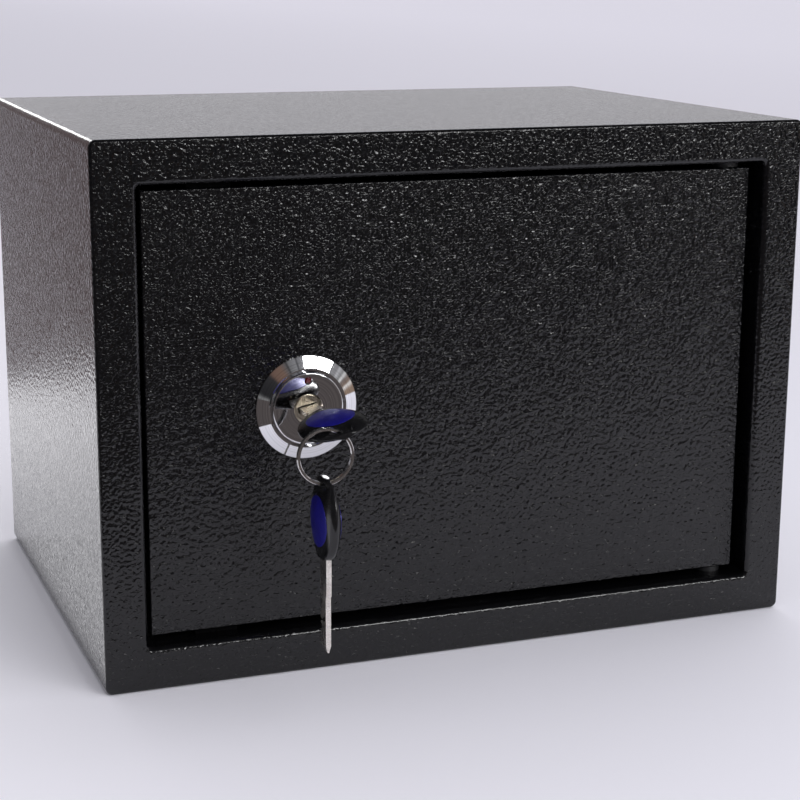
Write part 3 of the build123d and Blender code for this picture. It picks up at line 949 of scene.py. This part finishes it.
@dataclass
class Cabinet:
    """The welded cabinet: wrap, back, front frame, stops, hinge bushes and the felt mat."""

    shop: Workshop
    mat_width: float = 340 * MM
    mat_length: float = 210 * MM
    mat_front: float = -100 * MM
    mat_base: float = 2.05 * MM
    mat_thickness: float = 2.7 * MM
    mat_corner: float = 6 * MM
    mat_edge: float = 0.7 * MM
    mat_hole: float = 9 * MM
    hole_spread: float = 200 * MM
    mesh_step: float = 9 * MM
    ripple: float = 0.25 * MM
    ripples: float = 55.0
    join_reach: float = 0.02 * MM
    cut_reach: float = 0.01 * MM
    corner_steps: int = 8
    hole_steps: int = 40
    edge_steps: int = 2

    def dress_steel(self) -> None:
        """Coat the steel, give the stops a darker copy of the coat as painted shade, and dress
        the bushes.
        """
        finishes = self.shop.finishes
        self.shop.dress(finishes.coat, "body_wrap", "back_panel", "front_frame")
        # The door stops take the darker copy of the coat, as painted shade in the gaps.
        self.shop.dress(finishes.shaded_copy_coat, "door_stop_lower", "door_stop_upper")
        self.shop.dress(finishes.nylon, "hinge_bush_lower", "hinge_bush_upper")

    def _mat_outline(self) -> list[list[Vector]]:
        """Draw the mat's outline and its two holes.

        Returns:
            Three closed loops of points, the outline first.
        """
        middle = self.mat_front + self.mat_length / 2
        half = Vector((self.mat_width / 2, self.mat_length / 2))
        outline = []
        for turn, (side, end) in enumerate(((1, 1), (-1, 1), (-1, -1), (1, -1))):
            centre = Vector(
                (side * (half.x - self.mat_corner), middle + end * (half.y - self.mat_corner))
            )
            for step in range(self.corner_steps + 1):
                angle = (turn + step / self.corner_steps) * pi / 2
                outline.append(
                    centre + Vector((cos(angle), sin(angle))) * self.mat_corner
                )
        around = [step * 2 * pi / self.hole_steps for step in range(self.hole_steps)]
        holes = [
            [
                Vector((hole + cos(angle) * self.mat_hole, sin(angle) * self.mat_hole))
                for angle in around
            ]
            for hole in (-self.hole_spread / 2, self.hole_spread / 2)
        ]
        return [outline, *holes]

    def _mat_blank(self) -> bpy.types.Mesh:
        """Cut the mat's blank with soft edges.

        Returns:
            The blank's mesh, about the height of its middle.
        """
        curve = bpy.data.curves.new("mat_cut", "CURVE")
        curve.dimensions = "2D"
        curve.fill_mode = "BOTH"
        curve.extrude = self.mat_thickness / 2 - self.mat_edge
        curve.bevel_depth = self.mat_edge
        curve.offset = -self.mat_edge
        curve.bevel_resolution = self.edge_steps
        for loop in self._mat_outline():
            spline = curve.splines.new("POLY")
            spline.points.add(len(loop) - 1)
            for point, corner in zip(spline.points, loop):
                point.co = (corner.x, corner.y, 0, 1)
            spline.use_cyclic_u = True
        blank = bpy.data.objects.new("mat_blank", curve)
        bpy.context.scene.collection.objects.link(blank)
        bpy.context.view_layer.update()
        mesh = bpy.data.meshes.new_from_object(
            blank.evaluated_get(bpy.context.evaluated_depsgraph_get())
        )
        bpy.data.objects.remove(blank)
        bpy.data.curves.remove(curve)
        return mesh

    def lay_mat(self) -> None:
        """Cut the felt mat and lay it on the floor of the cabinet."""
        mesh = self._mat_blank()
        work = bmesh.new()
        work.from_mesh(mesh)
        bmesh.ops.remove_doubles(work, verts=work.verts, dist=self.join_reach)
        for axis, reach, start in (
            (Vector((1, 0, 0)), self.mat_width, -self.mat_width / 2),
            (Vector((0, 1, 0)), self.mat_length, self.mat_front),
        ):
            for cut in range(1, int(reach / self.mesh_step)):
                bmesh.ops.bisect_plane(
                    work,
                    geom=[*work.verts, *work.edges, *work.faces],
                    plane_co=axis * (start + cut * self.mesh_step),
                    plane_no=axis,
                    dist=self.cut_reach,
                )
        for vert in work.verts:
            vert.co.z += self.mat_base + self.mat_thickness / 2
            if vert.co.z > self.mat_base + self.mat_thickness / 2:
                vert.co.z += self.ripple * noise.noise(vert.co * self.ripples)
        bmesh.ops.recalc_face_normals(work, faces=work.faces)
        for face in work.faces:
            face.smooth = True
        work.to_mesh(mesh)
        work.free()
        mat = self.shop.place(
            "felt_mat", mesh, self.shop.finishes.felt, "cabinet", "floor_mat"
        )

    def build(self) -> None:
        """Dress and furnish the cabinet."""
        self.dress_steel()
        self.lay_mat()


@dataclass
class Door:
    """The door plate with its hinge lugs, pins, bolt guide and the lock's cover."""

    shop: Workshop

    def build(self) -> None:
        """Coat the plate and dress what is fixed to it."""
        finishes = self.shop.finishes
        self.shop.dress(
            finishes.coat,
            "door_panel",
            "hinge_lug_lower",
            "hinge_lug_upper",
            "lock_cover",
            "bolt_guide",
            "carriage_posts",
        )
        self.shop.dress(
            finishes.zinc,
            "hinge_pin_lower",
            "hinge_pin_upper",
            "carriage_screws",
            "cover_screws",
        )


@dataclass
class CamLock:
    """The cam lock: bevel ring, head, red index, plug, cam and fixings."""

    shop: Workshop

    def build(self) -> None:
        """Dress the lock's pieces."""
        finishes = self.shop.finishes
        self.shop.dress(finishes.chrome, "lock_escutcheon", "lock_barrel")
        self.shop.dress(finishes.index, "red_index_dot")
        self.shop.dress(finishes.plug, "key_plug")
        self.shop.dress(
            finishes.zinc, "lock_washer", "lock_nut", "lock_cam", "cam_pin", "cam_screw"
        )


@dataclass
class BoltWork:
    """The carriage and its two round bolts."""

    shop: Workshop

    def build(self) -> None:
        """Dress the carriage, its screws and the bolts."""
        finishes = self.shop.finishes
        self.shop.dress(finishes.zinc, "bolt_carriage", "bolt_screws")
        self.shop.dress(finishes.bolt, "bolt_lower", "bolt_upper")


@dataclass
class Key:
    """One key: blade, moulded bow and its two inlays."""

    shop: Workshop
    prefix: str

    def build(self) -> None:
        """Dress the key."""
        finishes = self.shop.finishes
        self.shop.dress(finishes.blade, f"{self.prefix}_blade")
        self.shop.dress(finishes.bow, f"{self.prefix}_bow")
        self.shop.dress(
            finishes.inlay, f"{self.prefix}_inlay_front", f"{self.prefix}_inlay_back"
        )


@dataclass
class KeySet:
    """The two keys and the ring that joins them."""

    shop: Workshop

    def build(self) -> None:
        """Dress the ring and both keys."""
        self.shop.dress(self.shop.finishes.ring, "key_ring")
        for prefix in ("key_1", "key_2"):
            Key(self.shop, prefix).build()


# The studio


@dataclass(frozen=True)
class Card:
    """A flat studio card with its own tones, for the safe's reflections."""

    name: str
    centre: Place
    facing: Place
    size: Span
    tones: tuple[tuple[float, Colour], ...]
    way: Way = Way.ACROSS
    glow: float = 1.0
    spin: float = 0.0

    def _tone(self) -> bpy.types.Material:
        """Make the card's material, with its tones side by side.

        Returns:
            The new material.
        """
        material = bpy.data.materials.new(self.name)
        material.use_nodes = True
        bench = Bench(material.node_tree)
        bench.tree.nodes.clear()
        ramp = bench.add("ShaderNodeValToRGB")
        stops = ramp.color_ramp.elements
        stops.remove(stops[1])
        for index, (at, colour) in enumerate(self.tones):
            stop = stops[0] if index == 0 else stops.new(at)
            stop.position = at
            stop.color = (*colour, 1.0)
        across = bench.add("ShaderNodeSeparateXYZ")
        bench.feed(across.inputs[0], bench.add("ShaderNodeTexCoord").outputs["Generated"])
        bench.feed(ramp.inputs[0], across.outputs[self.way.value])
        light = bench.add("ShaderNodeEmission")
        bench.feed(light.inputs["Color"], ramp.outputs["Color"])
        light.inputs["Strength"].default_value = self.glow
        output = bench.add("ShaderNodeOutputMaterial")
        bench.feed(output.inputs[0], light.outputs[0])
        return material

    def stand(self) -> None:
        """Stand the card in the studio."""
        mesh = bpy.data.meshes.new(self.name)
        work = bmesh.new()
        corners = [
            work.verts.new((x * self.size[0] / 2, y * self.size[1] / 2, 0))
            for x, y in ((-1, -1), (1, -1), (1, 1), (-1, 1))
        ]
        work.faces.new(corners)
        work.to_mesh(mesh)
        work.free()
        mesh.materials.append(self._tone())
        card = bpy.data.objects.new(self.name, mesh)
        bpy.context.scene.collection.objects.link(card)
        card.location = self.centre
        aim = Vector(self.facing).to_track_quat("Z", "Y")
        card.rotation_euler = (aim @ Quaternion((0, 0, 1), radians(self.spin))).to_euler()
        card.visible_camera = False
        card.visible_diffuse = False
        card.visible_shadow = False
        card.visible_transmission = False


@dataclass(frozen=True)
class Softbox:
    """An area lamp that points at the safe."""

    name: str
    place: Place
    target: Place
    size: Span
    radiance: float

    def stand(self) -> None:
        """Stand the lamp in the studio."""
        lamp = bpy.data.lights.new(self.name, "AREA")
        lamp.shape = "RECTANGLE"
        lamp.size, lamp.size_y = self.size
        lamp.energy = self.radiance * pi * self.size[0] * self.size[1]
        stand = bpy.data.objects.new(self.name, lamp)
        bpy.context.scene.collection.objects.link(stand)
        stand.location = self.place
        aim = Vector(self.target) - Vector(self.place)
        stand.rotation_euler = aim.to_track_quat("-Z", "Y").to_euler()
        stand.visible_camera = False
        stand.visible_glossy = False


@dataclass
class Studio:
    """The pale floor, the soft light, the cards and the camera."""

    eye: Place = (-0.3305, -0.9032, 0.3255)
    turn: float = 20.8575
    dip: float = 13.4353
    roll: float = 0.3356
    lens: float = 83.41
    sensor: float = 36.0
    nearest: float = 0.01
    farthest: float = 100.0
    floor_reach: float = 30.0
    floor_level: float = -0.2 * MM
    floor_rough: float = 0.7
    floor_shine: float = 0.2
    # The floor's tones carry painted light. They are paler near the safe and at its left, and
    # paler to the right far off, standing in for how the lamps fall on the floor.
    floor_tone: Colour = (0.67, 0.66, 0.72)
    far_floor_painted_light_right: Colour = (0.8, 0.785, 0.86)
    near_floor_painted_light_left: Colour = (0.9, 0.89, 0.95)
    near_floor_painted_light_right: Colour = (0.74, 0.735, 0.8)
    sky_tone: Colour = (0.74, 0.73, 0.79)
    dim_light: Colour = (0.28, 0.28, 0.3)
    full_light: Colour = (1.18, 1.17, 1.21)
    floor_span: Span = (-0.5, 4.0)
    near_lit_span: Span = (-0.45, 0.5)
    near_lit_end: Span = (0.1, 1.6)
    light_span: Span = (-0.9, 0.4)

    def _point_camera(self) -> None:
        """Stand the camera where the photograph was taken from."""
        data = bpy.data.cameras.new("camera")
        data.lens = self.lens
        data.sensor_fit = "HORIZONTAL"
        data.sensor_width = self.sensor
        data.clip_start = self.nearest
        data.clip_end = self.farthest
        camera = bpy.data.objects.new("camera", data)
        bpy.context.scene.collection.objects.link(camera)
        turn, dip, roll = radians(self.turn), radians(self.dip), radians(self.roll)
        ahead = Vector((sin(turn) * cos(dip), cos(turn) * cos(dip), -sin(dip)))
        right = Vector((cos(turn), -sin(turn), 0))
        above = right.cross(ahead)
        rolled_right = right * cos(roll) + above * sin(roll)
        rolled_above = above * cos(roll) - right * sin(roll)
        frame = Matrix((rolled_right, rolled_above, -ahead)).transposed().to_4x4()
        frame.translation = Vector(self.eye)
        camera.matrix_world = frame
        bpy.context.scene.camera = camera

    def _lay_floor(self) -> None:
        """Lay a pale floor under the safe, with painted light: paler near the safe, most at the
        near left, and paler to the right far off.
        """
        mesh = bpy.data.meshes.new("floor")
        reach = self.floor_reach
        corners = [(-reach, -reach), (reach, -reach), (reach, reach), (-reach, reach)]
        mesh.from_pydata([(x, y, self.floor_level) for x, y in corners], [], [(0, 1, 2, 3)])
        floor = bpy.data.objects.new("floor", mesh)
        bpy.context.scene.collection.objects.link(floor)
        material = bpy.data.materials.new("pale_floor")
        material.use_nodes = True
        bench = Bench(material.node_tree)
        shader = next(n for n in bench.tree.nodes if n.type == "BSDF_PRINCIPLED").inputs
        along = bench.add("ShaderNodeSeparateXYZ")
        bench.feed(along.inputs[0], bench.place())
        # Painted light: the floor's colour is mixed paler near the safe, most at the left, and
        # paler to the right far off.
        far = bench.mix(
            bench.rise(along.outputs["X"], *self.floor_span), self.floor_tone, self.far_floor_painted_light_right
        )
        near = bench.mix(
            bench.rise(along.outputs["X"], *self.near_lit_span), self.near_floor_painted_light_left, self.near_floor_painted_light_right
        )
        away = bench.rise(along.outputs["Y"], *self.near_lit_end)
        bench.feed(shader["Base Color"], bench.mix(away, near, far))
        shader["Roughness"].default_value = self.floor_rough
        shader["Specular IOR Level"].default_value = self.floor_shine
        mesh.materials.append(material)

    def _light_sky(self) -> None:
        """Fill the room with soft light, fuller from the right, before a plain pale wall."""
        world = bpy.data.worlds.new("studio")
        bpy.context.scene.world = world
        world.use_nodes = True
        bench = Bench(world.node_tree)
        back = next(n for n in bench.tree.nodes if n.type == "BACKGROUND")
        side = bench.add("ShaderNodeSeparateXYZ")
        bench.feed(side.inputs[0], bench.add("ShaderNodeTexCoord").outputs["Generated"])
        light = bench.mix(
            bench.rise(side.outputs["X"], *self.light_span), self.dim_light, self.full_light
        )
        path = bench.add("ShaderNodeLightPath").outputs
        seen = bench.maths(
            Maths.ADD,
            bench.maths(Maths.ADD, path["Is Camera Ray"], path["Is Glossy Ray"]),
            path["Is Transmission Ray"],
            clamp=True,
        )
        bench.feed(back.inputs[0], bench.mix(seen, light, self.sky_tone))

    def build(self) -> None:
        """Set up the whole studio."""
        view = bpy.context.scene.view_settings
        view.view_transform = "Standard"
        self._lay_floor()
        self._light_sky()
        for lamp in LAMPS:
            lamp.stand()
            log.info("lamp %s", lamp.name)
        for card in CARDS:
            card.stand()
            log.info("card %s", card.name)
        self._point_camera()


WHITE: Colour = (1.0, 1.0, 1.0)
UNLIT: Colour = (0.02, 0.02, 0.022)

LAMPS = (
    Softbox(
        "front_softbox",
        place=(0.42, -1.42, 0.66),
        target=(0.0, -0.12, 0.125),
        size=(1.05, 0.5),
        radiance=5.0,
    ),
    Softbox(
        "rear_softbox",
        place=(0.5, 1.9, 1.3),
        target=(0.0, 0.0, 0.2),
        size=(1.6, 0.8),
        radiance=1.2,
    ),
)

CARDS = (
    Card(
        "front_glow",
        centre=(0.68, -1.44, 0.66),
        facing=(0.0, 1.0, -0.38),
        size=(0.78, 0.3),
        tones=((0.0, WHITE),),
        glow=12.5,
    ),
    Card(
        "lamp_strut",
        centre=(0.545, -1.262, 0.6),
        facing=(-0.35, 1.0, 0.0),
        size=(0.04, 0.7),
        tones=((0.0, (0.02, 0.02, 0.02)),),
    ),
    Card(
        "dark_room",
        centre=(0.0, -1.75, 0.4),
        facing=(0.0, 1.0, 0.0),
        size=(5.0, 1.9),
        tones=(
            (0.0, UNLIT),
            (0.4, UNLIT),
            (0.425, (0.26, 0.26, 0.27)),
            (0.455, (0.2, 0.2, 0.21)),
            (0.46, (0.05, 0.05, 0.055)),
            (0.468, (0.24, 0.24, 0.25)),
            (0.505, (0.16, 0.16, 0.165)),
            (0.51, (0.04, 0.04, 0.042)),
            (0.52, (0.12, 0.11, 0.11)),
            (0.545, (0.17, 0.11, 0.085)),
            (0.58, (0.15, 0.095, 0.075)),
            (0.592, (0.03, 0.03, 0.032)),
            (0.64, UNLIT),
            (0.644, (0.3, 0.3, 0.3)),
            (0.648, UNLIT),
            (1.0, UNLIT),
        ),
    ),
    Card(
        "table_edge",
        centre=(-0.347, -1.24, 0.004),
        facing=(0.0, 0.0, 1.0),
        size=(6.0, 1.8),
        tones=((0.0, (0.08, 0.068, 0.066)), (1.0, (0.09, 0.08, 0.08))),
        spin=-22.7,
    ),
    Card(
        "dark_ceiling",
        centre=(0.2, -0.4, 1.8),
        facing=(0.0, 0.0, -1.0),
        size=(5.0, 3.2),
        tones=((0.0, (0.03, 0.03, 0.032)),),
    ),
    Card(
        "dark_left",
        centre=(-1.5, -0.6, 0.8),
        facing=(1.0, 0.0, 0.0),
        size=(2.4, 2.0),
        tones=((0.0, (0.04, 0.038, 0.04)),),
    ),
    Card(
        "brown_back",
        centre=(-0.745, 0.52, 0.25),
        facing=(0.0, -1.0, 0.0),
        size=(1.11, 0.5),
        tones=((0.0, (0.23, 0.18, 0.185)),),
    ),
    Card(
        "left_floor",
        centre=(-0.42, 0.2, 0.001),
        facing=(0.0, 0.0, 1.0),
        size=(0.48, 0.64),
        tones=((0.0, (1.15, 1.14, 1.19)), (0.45, (1.15, 1.14, 1.19)), (0.8, (1.6, 1.58, 1.65))),
        way=Way.UP,
        spin=180.0,
    ),
    Card(
        "rear_wall",
        centre=(0.9, 2.0, 0.55),
        facing=(0.0, -1.0, 0.0),
        size=(4.2, 0.9),
        tones=((0.0, (0.7, 0.69, 0.725)),),
    ),
    Card(
        "rear_glow",
        centre=(-0.42, 1.9, 0.66),
        facing=(0.0, -1.0, 0.0),
        size=(0.8, 0.26),
        tones=((0.0, WHITE),),
        glow=7.0,
    ),
    Card(
        "right_clutter",
        centre=(0.95, -0.95, 0.25),
        facing=(-1.0, 0.2, 0.0),
        size=(1.0, 0.6),
        tones=(
            (0.0, (0.3, 0.3, 0.31)),
            (0.3, (0.24, 0.17, 0.13)),
            (0.4, (0.3, 0.22, 0.17)),
            (0.43, (0.8, 0.77, 0.74)),
            (0.45, (0.22, 0.16, 0.13)),
            (0.5, (0.2, 0.17, 0.16)),
            (0.53, (0.8, 0.8, 0.8)),
            (0.56, (0.2, 0.2, 0.2)),
            (0.63, (0.5, 0.5, 0.52)),
            (0.66, (0.25, 0.25, 0.26)),
            (0.78, (0.3, 0.3, 0.31)),
            (0.8, (0.7, 0.7, 0.7)),
            (0.83, (0.2, 0.2, 0.21)),
            (1.0, (0.25, 0.25, 0.26)),
        ),
    ),
)


def main() -> None:
    """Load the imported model, build every sub-assembly and set up the studio."""
    logging.basicConfig(level=logging.INFO, format="%(name)s: %(message)s")
    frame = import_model()
    shop = Workshop(frame["nodes"])
    Cabinet(shop).build()
    Door(shop).build()
    CamLock(shop).build()
    BoltWork(shop).build()
    KeySet(shop).build()
    Studio().build()


if __name__ == "__main__":
    main()
